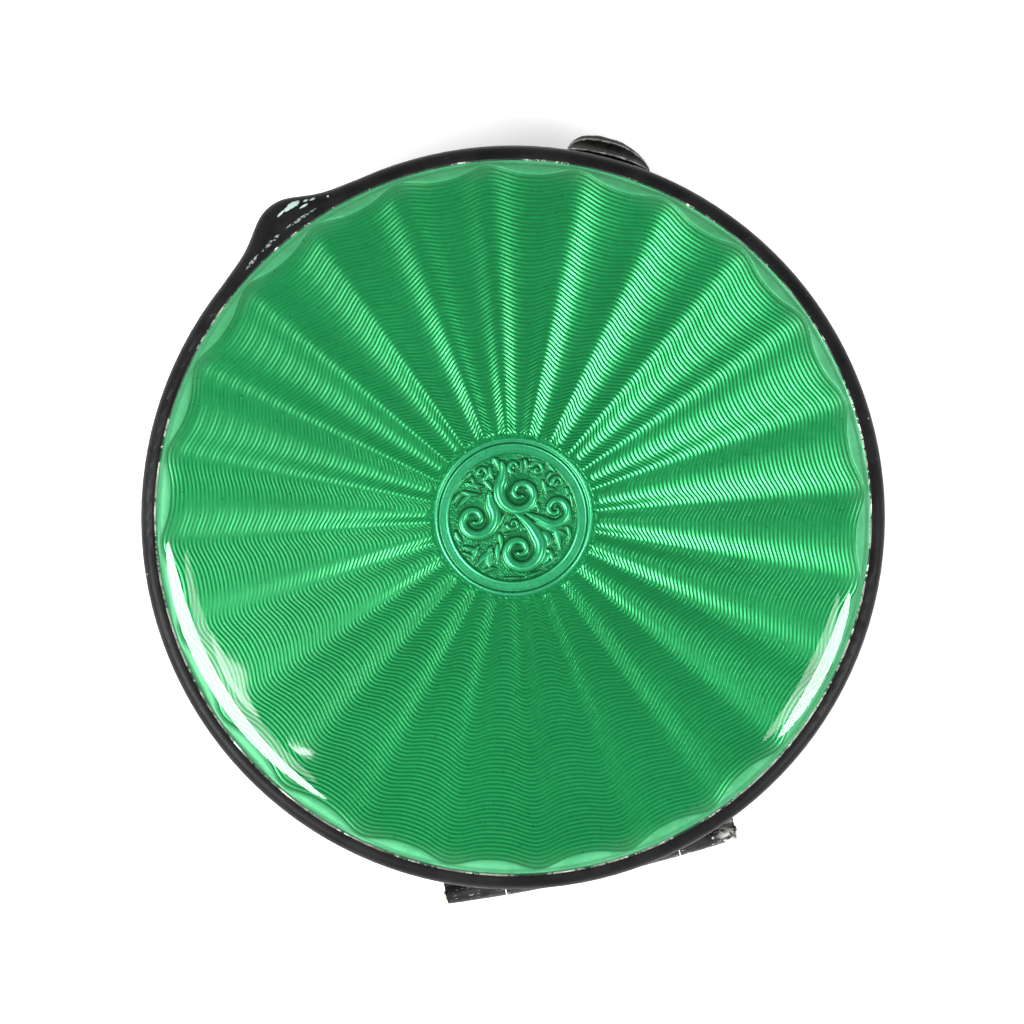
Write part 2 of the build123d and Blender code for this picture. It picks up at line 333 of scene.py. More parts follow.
# engine-turned plate under the enamel, seen green through it
pl = Mat("green_plate", rough=0.30, metal=PL_METAL, color=(0.02, 0.30, 0.08), coat=PL_COAT)
pl.bsdf.inputs["Coat Roughness"].default_value = 0.19
tone = pl.step(pl.noise(90, 3), 0.3, 0.7)
green = pl.mix(tone, (0.002, 0.238, 0.066), (0.005, 0.278, 0.082))
dust = pl.math("MULTIPLY", pl.step(pl.voronoi(1500), 0.08, 0.05), pl.step(pl.noise(260, 2), 0.67, 0.73))
green = pl.mix(dust, green, (0.004, 0.10, 0.03))
pl.color(green)
pl.rough(pl.step(pl.noise(2200, 3), 0.3, 0.7, 0.27, 0.36, "LINEAR"))
pl.bump(pl.noise(9000, 2), 0.004, 0.5)

# plain margin outside the scallops: same metal, smoother; its lighter colour is a painted sheen of the polished plain
# ground
mg = Mat("mint_margin", rough=0.42, metal=0.55, color=(0.10, 0.50, 0.24), coat=0.6)
mg.bsdf.inputs["Coat Roughness"].default_value = 0.25
spk = mg.math("MULTIPLY", mg.step(mg.voronoi(2600), 0.16, 0.08), mg.step(mg.noise(700, 2), 0.46, 0.58))
# the lighter mint tones below are painted sheen; the random tone and the dark specks are the metal's own
mcol = mg.mix(mg.step(mg.noise(600, 3), 0.35, 0.65), (0.060, 0.400, 0.170), (0.10, 0.470, 0.230))
mcol = mg.mix(mg.math("MULTIPLY", spk, 0.75), mcol, (0.01, 0.16, 0.06))
# the side away from the hinge is painted duller and closer to the cut ground: painted shade where no lamp's sheen falls
away_side_painted_shade = mg.math("MULTIPLY", mg.step(mg.axis("Y"), -0.006, -0.017), 0.62)
mcol = mg.mix(away_side_painted_shade, mcol, (0.020, 0.285, 0.098))
rr = mg.radius()
line_in = mg.math("MULTIPLY", mg.step(rr, 23.60, 23.68), mg.step(rr, 23.86, 23.78))
mcol = mg.mix(mg.math("MULTIPLY", line_in, 0.6), mcol, (0.012, 0.22, 0.08))
mg.color(mcol)
mg.rough(mg.step(mg.noise(3000, 2), 0.3, 0.7, 0.36, 0.50, "LINEAR"))
mg.bump(mg.noise(6000, 3), 0.006, 0.6)

# raised silver lip, bright where the black has rubbed off it, with more bright metal painted towards +X and +Y, the lit
# side: part real wear, part painted highlight
lp = Mat("silver_lip", rough=0.3, metal=1.0, color=(0.9, 0.9, 0.86))
ragged = lp.math("ADD", lp.noise(420, 4, 0.7), lp.math("MULTIPLY", lp.math("SUBTRACT", lp.noise(2400, 3, 0.7), 0.5), 0.55))
# the X and Y terms push the bright metal towards the lit side: painted highlight laid over the ragged real wear
lip_rub_and_painted_light = lp.step(lp.math("ADD", ragged, lp.math("ADD", lp.step(lp.axis("Y"), -0.016, 0.004, -0.10, 0.04), lp.step(lp.axis("X"), -0.004, 0.018, -0.01, 0.05))), 0.49, 0.54)
lp.color(lp.mix(lip_rub_and_painted_light, (0.016, 0.030, 0.022), (0.74, 0.75, 0.66)))
lp.rough(lp.step(lp.noise(4000, 2), 0.3, 0.7, 0.22, 0.5, "LINEAR"))
lp.metal(lp.step(lip_rub_and_painted_light, 0.2, 0.8, 0.0, 1.0))
lp.bump(lp.noise(5200, 3), 0.01, 0.6)

# back of the plate
bk = Mat("plate_back", rough=0.45, metal=1.0, color=(0.7, 0.69, 0.66))
bk.color(bk.mix(bk.step(bk.noise(300, 4), 0.35, 0.65), (0.45, 0.44, 0.42), (0.78, 0.77, 0.74)))
bk.bump(bk.noise(2500, 3), 0.01, 0.4)

# clear enamel: glossy skin over a transparent body
en = bpy.data.materials.new("clear_enamel")
en.use_nodes = True
t = en.node_tree
t.nodes.clear()
out = t.nodes.new("ShaderNodeOutputMaterial")
mixs = t.nodes.new("ShaderNodeMixShader")
# the same share from above and from inside, 4% face on and rising towards the edge
facing = t.nodes.new("ShaderNodeLayerWeight")
facing.inputs["Blend"].default_value = 0.5
fifth = t.nodes.new("ShaderNodeMath")
fifth.operation = "POWER"
fifth.inputs[1].default_value = 5.0
share = t.nodes.new("ShaderNodeMath")
share.operation = "MULTIPLY_ADD"
share.inputs[1].default_value = 0.957
share.inputs[2].default_value = 0.043
glo = t.nodes.new("ShaderNodeBsdfGlossy")
glo.inputs["Roughness"].default_value = 0.03
glo.inputs["Color"].default_value = (1, 1, 1, 1)
tr = t.nodes.new("ShaderNodeBsdfTransparent")
tr.inputs["Color"].default_value = (0.90, 0.99, 0.94, 1)
tc = t.nodes.new("ShaderNodeTexCoord")
nz = t.nodes.new("ShaderNodeTexNoise")
nz.inputs["Scale"].default_value = 160
nz.inputs["Detail"].default_value = 3
bp = t.nodes.new("ShaderNodeBump")
bp.inputs["Strength"].default_value = 0.25
bp.inputs["Distance"].default_value = 0.02 * MM
t.links.new(tc.outputs["Object"], nz.inputs["Vector"])
t.links.new(nz.outputs["Fac"], bp.inputs["Height"])
t.links.new(bp.outputs[0], glo.inputs["Normal"])
t.links.new(bp.outputs[0], facing.inputs["Normal"])
t.links.new(facing.outputs["Facing"], fifth.inputs[0])
t.links.new(fifth.outputs[0], share.inputs[0])
t.links.new(share.outputs[0], mixs.inputs[0])
t.links.new(tr.outputs[0], mixs.inputs[1])
t.links.new(glo.outputs[0], mixs.inputs[2])
t.links.new(mixs.outputs[0], out.inputs["Surface"])

# gilding
gd = Mat("gilt", rough=0.28, metal=1.0, color=(0.86, 0.60, 0.26))
gcol = gd.mix(gd.step(gd.noise(150, 4), 0.30, 0.70), (0.56, 0.36, 0.125), (0.66, 0.45, 0.185))
gcol = gd.mix(gd.math("MULTIPLY", gd.step(gd.noise(520, 5, 0.7), 0.60, 0.74), 0.35), gcol, (0.42, 0.36, 0.26))
gd.color(gcol)
gd.rough(gd.step(gd.noise(900, 3), 0.3, 0.7, 0.30, 0.42, "LINEAR"))
gd.bump(gd.noise(1600, 4), 0.008, 0.4)

# hinge: black worn through to metal
hg = Mat("worn_hinge", rough=0.4, color=(0.03, 0.03, 0.03))
hg.bsdf.inputs["Specular IOR Level"].default_value = 0.22
sc1 = hg.noise(1500, 4, 0.65, vec=hg.scaled(1.0, 5.0, 3.0, (0, 0, 0.35)))
sc2 = hg.voronoi(1300)
worn = hg.math("MAXIMUM", hg.step(sc1, 0.63, 0.70), hg.math("MULTIPLY", hg.step(sc2, 0.16, 0.09), hg.step(hg.noise(420, 2), 0.44, 0.56)))
end_rub = hg.math("MULTIPLY", hg.step(hg.axis("X"), -0.0084, -0.0095), hg.step(hg.noise(1700, 4, 0.65), 0.44, 0.56))
worn = hg.math("MAXIMUM", worn, end_rub)
hbase = hg.mix(hg.step(hg.noise(700, 3), 0.35, 0.65), (0.006, 0.006, 0.006), (0.022, 0.021, 0.020))
hg.color(hg.mix(worn, hbase, (0.60, 0.59, 0.56)))
hg.metal(hg.math("MULTIPLY", worn, 0.85))
hg.rough(hg.step(hg.noise(3000, 3), 0.3, 0.7, 0.28, 0.5, "LINEAR"))
hg.bump(hg.noise(2600, 5, 0.65), 0.03, 0.7)

pn = Mat("pin_metal", rough=0.3, metal=1.0, color=(0.9, 0.8, 0.6))
sx = pn.axis("X")
side = pn.step(sx, -0.001, 0.001)
brassy = pn.mix(pn.noise(2400, 3), (0.78, 0.62, 0.36), (0.95, 0.88, 0.70))
silvery = pn.mix(pn.noise(2400, 3), (0.70, 0.69, 0.66), (0.96, 0.96, 0.94))
pn.color(pn.mix(side, silvery, brassy))
pn.bump(pn.noise(5000, 3), 0.01, 0.5)

# ribbed grip: oxidised silver, ridges rubbed bright
gp = Mat("worn_silver", rough=0.38, metal=0.8, color=(0.3, 0.3, 0.28))
att = gp.n.new("ShaderNodeAttribute")
att.attribute_name = "ridge"
rid = gp.math("ADD", att.outputs["Fac"], gp.math("MULTIPLY", gp.math("SUBTRACT", gp.noise(2600, 4, 0.65), 0.5), 0.7))
rub = gp.step(rid, 0.74, 1.08)
gbase = gp.mix(gp.step(gp.noise(1400, 4), 0.35, 0.65), (0.010, 0.0095, 0.009), (0.030, 0.0285, 0.026))
gp.color(gp.mix(rub, gbase, (0.60, 0.59, 0.55)))
gp.rough(gp.step(gp.noise(3200, 3), 0.3, 0.7, 0.26, 0.46, "LINEAR"))
gp.bump(gp.noise(4200, 4), 0.014, 0.5)

# ------------------------------------------------------------------ engine-turned plate
WAVES, PITCH, AMP = 24, 0.279, 0.3125
CREST0 = math.radians(6.6)
N = WAVES * 18
th = np.arange(N) * 2 * math.pi / N + CREST0
ph = WAVES * (th - CREST0)
wave = np.cos(ph) + 0.15 * np.cos(2 * ph)

R_IN0 = 5.30
R0 = 5.72
# one groove, as (share of the pitch, depth): a narrow land, a steep outer-facing
# side and a broad inward-facing side
GROOVE = ((0.0, 0.0), (0.26, 0.004), (0.52, 0.054))
rows = []               # (radius array, height array)
row_kind = []


def add_row(r, z, kind):
    rows.append((np.broadcast_to(r, th.shape).copy(), np.broadcast_to(z, th.shape).copy()))
    row_kind.append(kind)


rng = np.random.default_rng(7)
# inner wall, then the small punched ring left round the roundel
add_row(np.full(N, R_IN0), plate_z(R_IN0) - 0.40, "wall")
add_row(np.full(N, R_IN0), plate_z(R_IN0) - 0.01, "ring")
for rr0, deep in ((5.36, 0.03), (5.42, 0.03), (5.48, 0.03), (5.54, 0.03)):
    stip = np.where(rng.random(N) > 0.55, deep, 0.0)
    add_row(np.full(N, rr0), plate_z(rr0) - stip, "ring")
R_CUT = 5.58                # grooves stop at the ring
n_groove = int(round((23.30 - R0) / PITCH))
row_no = 0
for k in range(-2, n_groove):
    ra = R0 + k * PITCH
    edge_fade = 1 - 0.45 * float(smooth(n_groove - 5, n_groove, k))
    for part, dep in GROOVE:
        rb = ra + part * PITCH
        free = rb + AMP * wave
        floor_r = R_CUT + 0.004 * row_no
        r = np.maximum(free, floor_r)
        fade = smooth(0.0, 0.05, free - floor_r)
        add_row(r, plate_z(r) - dep * (1 + 0.07 * np.sin(7 * th + k * 1.7)) * fade * edge_fade, "groove")
        row_no += 1
r_edge = R0 + n_groove * PITCH + AMP * wave
add_row(r_edge, plate_z(r_edge), "groove")
add_row(r_edge + 0.035, plate_z(r_edge + 0.035) - 0.022, "groove")
r_b = r_edge + 0.075
add_row(r_b, plate_z(r_b) - 0.005, "margin")
for f in (0.35, 0.7):
    r = r_b + (23.94 - r_b) * f
    add_row(r, plate_z(r) - 0.005, "margin")
add_row(np.full(N, 23.95), plate_z(23.95) - 0.02, "margin")
lip_top = float(top_z(R_EN)) + 0.06
add_row(np.full(N, R_EN), float(plate_z(R_EN)), "lip")
wob = 0.014 * np.sin(31 * th) + 0.012 * np.sin(67 * th + 1.0) + 0.010 * (rng.random(N) - 0.5)
add_row(np.full(N, R_EN + 0.005) + np.abs(wob) * 0.9, lip_top - 0.02 + wob, "lip")
add_row(np.full(N, R_REC), lip_top - 0.01, "lip")
add_row(np.full(N, R_REC), 10.5, "back")
add_row(np.full(N, 23.0), 10.5, "back")
add_row(np.full(N, 22.6), float(plate_z(22.6)) - 0.40, "back")
add_row(np.full(N, 17.5), float(plate_z(17.5)) - 0.40, "back")
add_row(np.full(N, 11.5), float(plate_z(11.5)) - 0.40, "back")
rows.append(rows[0])
row_kind.append("close")

nrow = len(rows) - 1
verts = np.concatenate([np.stack([r * np.cos(th), r * np.sin(th), z], 1) for r, z in rows[:nrow]])
faces = ring_faces(nrow, N)
j = np.arange(N)
k = (j + 1) % N
a = (nrow - 1) * N
faces = np.concatenate([faces, np.stack([a + j, j, k, a + k], 1)])
plate = make_mesh("engine_turned_plate", verts, faces)
kinds = np.array(row_kind[:nrow])
sharp_rows = np.isin(kinds, ["groove", "lip", "back", "wall"])
set_sharp(plate, lambda p, q: (p // N == q // N) & sharp_rows[np.clip(p // N, 0, nrow - 1)])
for mt in (pl.m, mg.m, lp.m, bk.m):
    plate.data.materials.append(mt)
idx = np.zeros(nrow, int)
for i, kd in enumerate(kinds):
    nxt = kinds[(i + 1) % nrow]
    if kd == "groove" and nxt != "margin":
        idx[i] = 0
    elif kd == "margin" or nxt == "margin":
        idx[i] = 1
    elif kd == "lip":
        idx[i] = 2
    elif kd == "back":
        idx[i] = 3
plate.data.polygons.foreach_set("material_index", np.repeat(idx, N))
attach(plate, "lid")
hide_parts("guilloche_plate")


# ------------------------------------------------------------------ roundel: scrolling foliage in relief
# Own design: volutes drawn as tapering spirals, with small leaves between, on a punched ground.
def spiral(cx, cy, r0, turns, start, sense, n=90, r1=0.12, power=0.9):
    s = np.linspace(0, 1, n)
    r = r1 + (r0 - r1) * (1 - s) ** power
    a = start + sense * s * turns * 2 * math.pi
    return np.stack([cx + r * np.cos(a), cy + r * np.sin(a)], 1), s


def view_pt(x, y):
    """Row-frame point of a place given in mm right and up of the roundel's middle, as seen."""
    c, s = math.cos(VIEW_TURN), math.sin(VIEW_TURN)
    return np.array([x * c - y * s, x * s + y * c])


strokes = []            # (points, half width, height, ridge in the middle?)


def add_spiral(x, y, r0, turns, start_deg, sense, w0, w1, h):
    p, s = spiral(0, 0, r0, turns, math.radians(start_deg), sense)
    q = np.array([view_pt(x + a, y + b) for a, b in p])
    strokes.append((q, w0 + (w1 - w0) * s, h * (1 - 0.25 * s)))


def add_curve(pts, w0, w1, h, n=40):
    pts = np.array(pts, float)
    tt = np.linspace(0, 1, n)
    m = len(pts) - 1
    out = np.zeros((n, 2))
    for i in range(m + 1):
        b = math.comb(m, i) * tt ** i * (1 - tt) ** (m - i)
        out += b[:, None] * pts[i]
    q = np.array([view_pt(a, b) for a, b in out])
    bulge = np.sin(np.pi * np.clip(tt, 0.02, 0.98)) ** 0.6
    strokes.append((q, (w0 + (w1 - w0) * tt) * bulge, h * np.ones(n)))


def add_scroll(x, y, r0, r1, turns, start_deg, sense, w0, w1, h, stem=None):
    """A scroll: an optional stem running into a spiral that closes in on a small eye."""
    n = 110
    u = np.linspace(0, 1, n)
    r = r1 + (r0 - r1) * (1 - u) ** 1.25
    a = math.radians(start_deg) + sense * u * turns * 2 * math.pi
    p = np.stack([x + r * np.cos(a), y + r * np.sin(a)], 1)
    w = w0 + (w1 - w0) * u ** 0.8
    if stem is not None:
        m = 26
        q0, q2 = np.array(stem, float), p[0]
        tang = (p[1] - p[0]) / np.linalg.norm(p[1] - p[0])
        q1 = q2 - tang * np.linalg.norm(q2 - q0) * 0.55
        v = np.linspace(0, 1, m)[:-1, None]
        st_ = (1 - v) ** 2 * q0 + 2 * v * (1 - v) * q1 + v ** 2 * q2
        p = np.concatenate([st_, p])
        w = np.concatenate([0.10 + (w0 - 0.10) * v[:, 0] ** 0.7, w])
    q = np.array([view_pt(a_, b_) for a_, b_ in p])
    strokes.append((q, w, h * np.ones(len(p))))


hollows = []            # dished discs inside the large scrolls: centre, radius, depth


def add_hollow(x, y, r, deep):
    hollows.append((view_pt(x, y), r, deep))


# four large scrolls, each a broad band rolling in on its eye
add_scroll(0.50, 1.62, 1.50, 0.22, 1.42, 150, 1, 0.47, 0.15, 0.20, stem=(-0.75, 3.75))
add_scroll(-2.55, -0.15, 1.42, 0.22, 1.40, 35, -1, 0.48, 0.15, 0.20, stem=(-1.55, 1.75))
add_scroll(0.45, -2.20, 1.50, 0.22, 1.45, 38, -1, 0.50, 0.15, 0.21, stem=(0.15, 0.25))
add_scroll(2.85, 0.55, 1.08, 0.16, 1.38, 235, 1, 0.38, 0.13, 0.19, stem=(0.90, 0.28))
add_hollow(0.45, 1.70, 1.25, 0.05)
add_hollow(-2.50, -0.10, 1.20, 0.05)
add_hollow(0.50, -2.10, 1.25, 0.06)
# small curls
add_scroll(0.02, -0.42, 0.42, 0.05, 1.25, 200, 1, 0.18, 0.09, 0.13)
add_scroll(0.08, 3.42, 0.42, 0.05, 1.20, 250, -1, 0.19, 0.09, 0.14)
add_scroll(1.62, 3.22, 0.50, 0.05, 1.25, 150, -1, 0.20, 0.10, 0.14)
add_scroll(3.02, 2.35, 0.44, 0.05, 1.20, 190, -1, 0.19, 0.09, 0.14)
add_scroll(-2.15, 3.00, 0.46, 0.05, 1.20, 300, 1, 0.19, 0.09, 0.14)
# leaves that fill the spaces between
for pts, w_ in (
    ([(-1.30, 3.95), (-0.95, 3.75), (-0.95, 3.15)], 0.27), ([(-3.10, 2.30), (-2.65, 2.05), (-1.85, 2.10)], 0.26),
    ([(-3.35, 1.75), (-2.90, 1.45), (-2.10, 1.55)], 0.22), ([(-2.75, 2.75), (-2.70, 2.20), (-2.20, 1.75)], 0.20),
    ([(1.45, -0.35), (2.30, -0.45), (3.05, -1.15)], 0.34), ([(2.30, -0.75), (3.20, -0.85), (3.75, -1.35)], 0.24),
    ([(3.60, -0.60), (3.95, -0.95), (3.65, -1.85)], 0.22), ([(2.30, -2.15), (2.65, -2.35), (2.70, -3.10)], 0.26),
    ([(2.05, -3.30), (2.45, -3.10), (2.90, -2.60)], 0.20), ([(-1.35, -2.35), (-1.95, -2.50), (-2.40, -3.25)], 0.34),
    ([(-3.30, -1.95), (-2.90, -2.25), (-2.15, -2.15)], 0.26), ([(-3.40, -2.35), (-3.00, -2.55), (-2.45, -2.75)], 0.20),
    ([(-1.90, -3.60), (-1.50, -3.35), (-1.10, -3.45)], 0.22), ([(-0.60, -4.05), (0.00, -4.15), (0.75, -4.00)], 0.17),
    ([(0.90, -3.95), (1.40, -3.85), (1.75, -3.60)], 0.18), ([(1.45, 1.00), (1.75, 0.75), (1.70, 0.30)], 0.24),
    ([(1.95, 2.50), (2.25, 2.05), (2.20, 1.45)], 0.24), ([(2.60, 3.05), (2.30, 2.85), (2.15, 2.35)], 0.18),
    ([(3.80, 1.60), (4.00, 1.20), (4.00, 0.60)], 0.19), ([(0.75, 3.95), (1.00, 3.60), (0.85, 3.10)], 0.20),
    ([(-3.95, 0.95), (-3.90, 1.30), (-3.55, 1.70)], 0.18), ([(-0.95, -0.65), (-0.80, -0.10), (-0.45, 0.35)], 0.17),
    ([(-0.60, -1.10), (-0.30, -1.15), (0.05, -0.95)], 0.16), ([(3.20, 3.00), (3.45, 2.70), (3.60, 2.30)], 0.17),
    ([(1.95, -0.95), (2.45, -1.30), (2.35, -1.95)], 0.42), ([(2.75, -0.65), (3.10, -1.25), (3.15, -2.10)], 0.30),
    ([(-1.45, -1.95), (-1.75, -2.75), (-1.55, -3.35)], 0.40), ([(-1.05, -1.75), (-1.05, -2.35), (-1.00, -3.00)], 0.26),
    ([(-0.95, -1.05), (-0.70, -1.55), (-0.85, -2.20)], 0.24), ([(-2.30, -1.85), (-2.65, -2.45), (-2.75, -3.00)], 0.24),
    ([(-3.85, -0.90), (-3.75, -1.40), (-3.35, -1.75)], 0.24), ([(-2.75, 1.55), (-3.35, 1.20), (-3.75, 0.55)], 0.26),
    ([(-1.95, 2.45), (-1.55, 2.20), (-1.40, 1.75)], 0.26), ([(-1.55, 3.45), (-1.60, 2.90), (-1.25, 2.50)], 0.26),
    ([(-2.85, 3.05), (-3.05, 2.75), (-3.30, 2.50)], 0.22), ([(2.10, 1.95), (2.55, 1.95), (2.85, 1.85)], 0.22),
    ([(0.55, 3.90), (0.60, 3.40), (0.55, 3.05)], 0.18), ([(1.15, 3.95), (1.55, 3.90), (2.05, 3.70)], 0.17),
    ([(2.30, 3.60), (2.70, 3.30), (2.85, 2.95)], 0.18), ([(3.55, 2.05), (3.70, 1.75), (3.60, 1.50)], 0.20),
    ([(1.95, -3.10), (2.30, -2.75), (2.45, -2.25)], 0.26), ([(0.95, 0.95), (1.20, 0.60), (1.75, 0.55)], 0.22),
):
    add_curve(pts, w_, w_ * 0.55, 0.13, 24)

R_ROUND = 5.30
RAD, ANG = 146, 448
rad = np.concatenate([np.linspace(0.02, 4.30, 104), np.linspace(4.34, R_ROUND, RAD - 104)])
ang = np.arange(ANG) * 2 * math.pi / ANG
RR, AA = np.meshgrid(rad, ang, indexing="ij")
XX, YY = RR * np.cos(AA), RR * np.sin(AA)
relief = np.zeros_like(XX)
near = np.full(XX.shape, 9.0)       # how far outside the nearest scroll or leaf, mm
crest = np.zeros_like(XX)
flat = np.stack([XX.ravel(), YY.ravel()], 1)
for q, w, h in strokes:
    best = np.zeros(len(flat))
    lo_, hi_ = q.min(0) - 0.6, q.max(0) + 0.6
    sel = np.nonzero(((flat > lo_) & (flat < hi_)).all(1))[0]
    if not len(sel):
        continue
    d = np.hypot(flat[sel, None, 0] - q[None, :, 0], flat[sel, None, 1] - q[None, :, 1]) / np.maximum(w, 0.03)[None, :]
    prof = np.clip(1 - d ** 2, 0, None) ** 0.5 * h[None, :]
    # a fine line cut along the wider bands
    vein = 0.25 * np.exp(-((d - 0.42) / 0.12) ** 2) * h[None, :] * (w[None, :] > 0.24)
    best[sel] = (prof - vein).max(1)
    gap = np.full(len(flat), 9.0)
    gap[sel] = ((d - 1) * np.maximum(w, 0.03)[None, :]).min(1)
    near = np.minimum(near, gap.reshape(near.shape))
    dm = d.min(1)
    cr = np.zeros(len(flat))
    cr[sel] = np.exp(-((dm - 0.30) / 0.26) ** 2)
    crest = np.maximum(crest, cr.reshape(crest.shape))
    relief = np.maximum(relief, best.reshape(relief.shape))
inside = 1 - smooth(4.22, 4.34, RR)
relief *= inside
dish = np.zeros_like(RR)
for c_, r_, deep in hollows:
    q_ = np.hypot(XX - c_[0], YY - c_[1]) / r_
    dish = np.maximum(dish, deep * np.clip(1 - q_ ** 2, 0, 1))
bare = relief < 0.01
ground = (-0.125 - dish * bare) * inside
# punched ground: small round dents, none inside the dished scrolls
cell = np.sin(XX * 31 + 1.3 * np.sin(YY * 17)) * np.sin(YY * 33 + 1.1 * np.sin(XX * 19))
punch = 0.045 * smooth(0.15, 0.70, cell) * inside * bare * (dish < 0.004)
band = -0.030 * smooth(4.40, 4.48, RR) * (1 - smooth(4.84, 4.92, RR))
line_ring = -0.10 * np.exp(-((RR - 5.00) / 0.05) ** 2) - 0.035 * np.exp(-((RR - 5.20) / 0.03) ** 2)
# deep enamel is dark, shallow enamel light: recesses, the foot of each scroll, the ring line
stipple = np.sin(XX * 47 + 2.1 * np.sin(YY * 23)) * np.sin(YY * 43 + 1.7 * np.sin(XX * 29))
tone_map = 0.50 + 0.20 * stipple + 0.12 * np.sin(XX * 2.1 + 0.7) * np.sin(YY * 1.9)
tone_map = np.where(dish > 0.004, 0.36 - 2.0 * dish, tone_map)
tone_map = np.where(bare, tone_map, 0.40 + 0.55 * crest)
foot = np.exp(-(near / 0.075) ** 2)
tone_map = tone_map * (1 - 0.95 * foot)
tone_map = tone_map * inside + (1 - inside) * (0.88 + 0.07 * np.sin(RR * 26) + 0.10 * stipple)
tone_map = tone_map * (1 - 0.97 * np.exp(-((RR - 5.00) / 0.055) ** 2)) * (1 - 0.75 * np.exp(-((RR - 4.30) / 0.06) ** 2))
tone_map = np.clip(tone_map, 0, 1)
ZZ = plate_z(RR) + ground + relief - punch + band + line_ring
rv = np.stack([XX.ravel(), YY.ravel(), ZZ.ravel()], 1)
nb = len(rv)
wall = np.stack([R_ROUND * np.cos(ang), R_ROUND * np.sin(ang), np.full(ANG, float(plate_z(R_ROUND)) - 0.40)], 1)
rv = np.concatenate([rv, wall, [[0, 0, float(ZZ[0].mean())], [0, 0, float(plate_z(0)) - 0.40]]])
rf = [tuple(f) for f in ring_faces(RAD + 1, ANG)]
for i in range(ANG):
    i2 = (i + 1) % ANG
    rf.append((nb + ANG, i, i2))
    rf.append((nb + ANG + 1, nb + i2, nb + i))
roundel = make_mesh("scroll_roundel", rv, rf)
set_sharp(roundel, lambda p, q: (p >= (RAD - 1) * ANG) & (q >= (RAD - 1) * ANG) & (p < nb) & (q < nb))
rm = Mat("green_roundel", rough=0.32, metal=0.6, color=(0.01, 0.40, 0.10), coat=0.38)
rm.bsdf.inputs["Coat Roughness"].default_value = 0.2
shal = rm.n.new("ShaderNodeAttribute")
shal.attribute_name = "shallow"
tn = rm.math("ADD", shal.outputs["Fac"], rm.math("MULTIPLY", rm.math("SUBTRACT", rm.noise(2600, 3, 0.6), 0.5), 0.35), clamp=True)
lo_ = rm.mix(rm.step(tn, 0.0, 0.45, kind="LINEAR"), (0.0006, 0.110, 0.030), (0.003, 0.235, 0.070))
rm.color(rm.mix(rm.step(tn, 0.45, 1.0, kind="LINEAR"), lo_, (0.050, 0.445, 0.210)))
rm.rough(rm.step(rm.noise(3000, 3), 0.3, 0.7, 0.26, 0.40, "LINEAR"))
rm.bump(rm.noise(9000, 3), 0.008, 0.6)
roundel.data.materials.append(rm.m)
att_ = roundel.data.attributes.new("shallow", "FLOAT", "POINT")
att_.data.foreach_set("value", np.concatenate([tone_map.ravel(), np.full(len(rv) - tone_map.size, 0.4)]).astype(np.float32))
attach(roundel, "lid")

# ------------------------------------------------------------------ enamel dome
NE = 288
te = np.arange(NE) * 2 * math.pi / NE
re_ = np.concatenate([np.linspace(0.4, 21.0, 26), np.linspace(21.3, R_EN - 0.02, 26)])
er, ez = list(re_), list(top_z(re_))
er += [R_EN, R_EN, 22.5, 12.0, 0.4]
ez += [float(top_z(R_EN)) - 0.03, float(plate_z(R_EN)) - 0.08, float(plate_z(22.5)) - 0.2, float(plate_z(12.0)) - 0.2, float(plate_z(0.4)) - 0.3]
ev = np.concatenate([np.stack([r * np.cos(te), r * np.sin(te), np.full(NE, z)], 1) for r, z in zip(er, ez)])
nr = len(er)
ev = np.concatenate([ev, [[0, 0, Z_APEX], [0, 0, ez[-1]]]])
ef = [tuple(f) for f in ring_faces(nr, NE)]
for i in range(NE):
    i2 = (i + 1) % NE
    ef.append((nr * NE, i, i2))
    ef.append((nr * NE + 1, (nr - 1) * NE + i2, (nr - 1) * NE + i))
dome = make_mesh("enamel_dome", ev, ef)
set_sharp(dome, lambda p, q: (p // NE == q // NE) & (p // NE >= len(re_) - 1))
dome.data.materials.append(en)
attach(dome, "lid")
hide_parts("lid_enamel")

# ------------------------------------------------------------------ ribbed grip
GRIP = math.radians(-117.7)
NS, NP = 80, 140
HALF, OUT_R, ZC = 2.90, 1.53, 5.28
# s runs along the grip: +1 is the blunt end, -1 the tapered tip, ends closed by small caps
ss = -np.cos(np.linspace(0.03, math.pi - 0.03, NS)) * 0.999
gv, ridge = [], []
for s_ in ss:
    env = (1 - abs(s_) ** 1.75) ** 0.72 if s_ < 0 else (1 - s_ ** 3.2) ** 0.55
    for i in range(NP):
        psi = i * 2 * math.pi / NP
        # ridges lean a little, so they run together at the tapered tip
        arg = 4.5 * psi + 0.35 - 0.45 * s_
        cusp = abs(math.sin(arg))
        flute = cusp ** 0.75
        lumps = 0.05 * math.sin(5 * psi + 2.0) * max(0.0, s_ - 0.55) / 0.45
        rr_ = OUT_R * env * (1 - 0.19 * flute * (0.35 + 0.65 * env) + lumps * 0.6)
        gv.append((s_ * HALF, rr_ * math.cos(psi), rr_ * math.sin(psi)))
        ridge.append(1 - cusp)
ends_ = [(-HALF * 1.0, 0.0, 0.0), (HALF * 1.0, 0.0, 0.0)]
gv = np.array(gv + ends_)
ridge += [0.6, 0.3]
ct, st = math.cos(GRIP), math.sin(GRIP)
tx, ty = -st, ct            # tangential direction, rising angle
gx0, gy0 = 24.95 * ct, 24.95 * st
# as seen, the tapered tip lies towards the falling image angle
sgn = GRIP_SIGN
wx = gx0 + sgn * gv[:, 0] * tx + gv[:, 1] * ct
wy = gy0 + sgn * gv[:, 0] * ty + gv[:, 1] * st
wz = ZC + gv[:, 2]
gw = np.stack([wx, wy, wz], 1)
